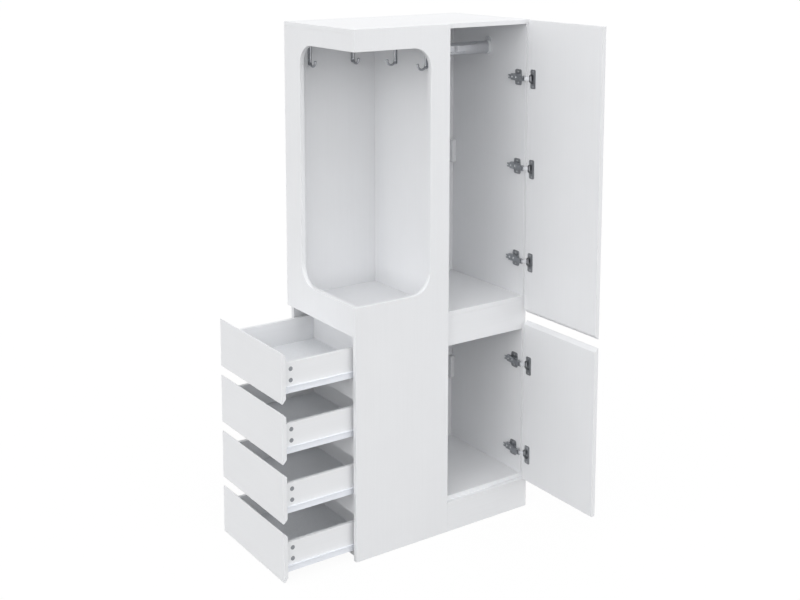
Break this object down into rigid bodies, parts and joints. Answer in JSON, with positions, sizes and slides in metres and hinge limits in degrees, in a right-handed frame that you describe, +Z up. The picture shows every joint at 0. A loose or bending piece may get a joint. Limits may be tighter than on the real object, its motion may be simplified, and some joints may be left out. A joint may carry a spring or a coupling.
{
  "type": "chifforobe",
  "caption": "Tall wardrobe with a rounded open coat niche across one front corner, drawers below it that open to the side, and doors over hanging and storage bays.",
  "frame": {"origin": "on the floor in the middle of the carcass footprint, on the underside of the partition", "axes": "+Z up, +X along the front towards the doors, +Y from the front to the back"},
  "size_m": [1.018, 0.807, 1.8],
  "materials": {
    "white_board": "matt white melamine facing",
    "drawer_base": "matt white hardboard",
    "bright_steel": "polished plating",
    "hinge_steel": "nickel plated",
    "dark_steel": "zinc plated, darkened recess",
    "coated_steel": "white coated sheet"
  },
  "bodies": {
    "carcass": {"top_panel": "white_board", "right_side_panel": "white_board", "partition_panel": "white_board", "back_panel": "white_board", "front_panel": "white_board", "left_side_panel": "white_board", "niche_floor": "white_board", "compartment_floor": "white_board", "middle_shelf": "white_board", "middle_rail": "white_board", "front_plinth": "white_board", "side_plinth": "white_board", "drawer_rails": "white_board", "corner_blocks": "white_board", "hanging_rail": "bright_steel", "rail_flanges": "coated_steel", "rail_flange_screws": "dark_steel", "coat_hooks": "bright_steel", "coat_hook_screws": "dark_steel", "hinge_mounting_plates": "hinge_steel", "hinge_arms": "hinge_steel", "hinge_arm_pins": "dark_steel", "hinge_plate_screws": "dark_steel", "hinge_adjusting_screws": "dark_steel", "cabinet_runners": "coated_steel", "runner_screws": "dark_steel"},
    "upper_link_set": {"upper_hinge_links": "hinge_steel"},
    "upper_door_leaf": {"upper_door": "white_board", "upper_hinge_cups": "hinge_steel", "upper_cup_screws": "dark_steel", "upper_cup_pins": "dark_steel"},
    "lower_link_set": {"lower_hinge_links": "hinge_steel"},
    "lower_door_leaf": {"lower_door": "white_board", "lower_hinge_cups": "hinge_steel", "lower_cup_screws": "dark_steel", "lower_cup_pins": "dark_steel"},
    "drawer_1": {"drawer_1_front": "white_board", "drawer_1_sides": "white_board", "drawer_1_back": "white_board", "drawer_1_bottom": "drawer_base", "drawer_1_runners": "coated_steel", "drawer_1_cam_locks": "dark_steel"},
    "drawer_2": {"drawer_2_front": "white_board", "drawer_2_sides": "white_board", "drawer_2_back": "white_board", "drawer_2_bottom": "drawer_base", "drawer_2_runners": "coated_steel", "drawer_2_cam_locks": "dark_steel"},
    "drawer_3": {"drawer_3_front": "white_board", "drawer_3_sides": "white_board", "drawer_3_back": "white_board", "drawer_3_bottom": "drawer_base", "drawer_3_runners": "coated_steel", "drawer_3_cam_locks": "dark_steel"},
    "drawer_4": {"drawer_4_front": "white_board", "drawer_4_sides": "white_board", "drawer_4_back": "white_board", "drawer_4_bottom": "drawer_base", "drawer_4_runners": "coated_steel", "drawer_4_cam_locks": "dark_steel"}
  },
  "joints": [
    {"name": "upper_link_swing", "type": "hinge", "parent": "carcass", "child": "upper_link_set", "pos_m": [0.343, -0.21759, 1.269], "axis": [0, 0, 1], "range_deg": [-5.07, 45.18]},
    {"name": "upper_door_swing", "type": "hinge", "parent": "upper_link_set", "child": "upper_door_leaf", "pos_m": [0.36, -0.231, 1.269], "axis": [0, 0, 1], "range_deg": [-135.13, 15.02]},
    {"name": "lower_link_swing", "type": "hinge", "parent": "carcass", "child": "lower_link_set", "pos_m": [0.343, -0.21759, 0.3775], "axis": [0, 0, 1], "range_deg": [-5.07, 45.18]},
    {"name": "lower_door_swing", "type": "hinge", "parent": "lower_link_set", "child": "lower_door_leaf", "pos_m": [0.36, -0.231, 0.3775], "axis": [0, 0, 1], "range_deg": [-135.13, 15.02]},
    {"name": "drawer_1_slide", "type": "slide", "parent": "carcass", "child": "drawer_1", "axis": [1, 0, 0], "range_m": [0, 0.27]},
    {"name": "drawer_2_slide", "type": "slide", "parent": "carcass", "child": "drawer_2", "axis": [1, 0, 0], "range_m": [0, 0.27]},
    {"name": "drawer_3_slide", "type": "slide", "parent": "carcass", "child": "drawer_3", "axis": [1, 0, 0], "range_m": [0, 0.27]},
    {"name": "drawer_4_slide", "type": "slide", "parent": "carcass", "child": "drawer_4", "axis": [1, 0, 0], "range_m": [0, 0.27]}
  ],
  "couplings": [
    {"joint": "upper_link_swing", "follows": "upper_door_swing", "ratio": -0.33399},
    {"joint": "lower_link_swing", "follows": "lower_door_swing", "ratio": -0.33399}
  ]
}
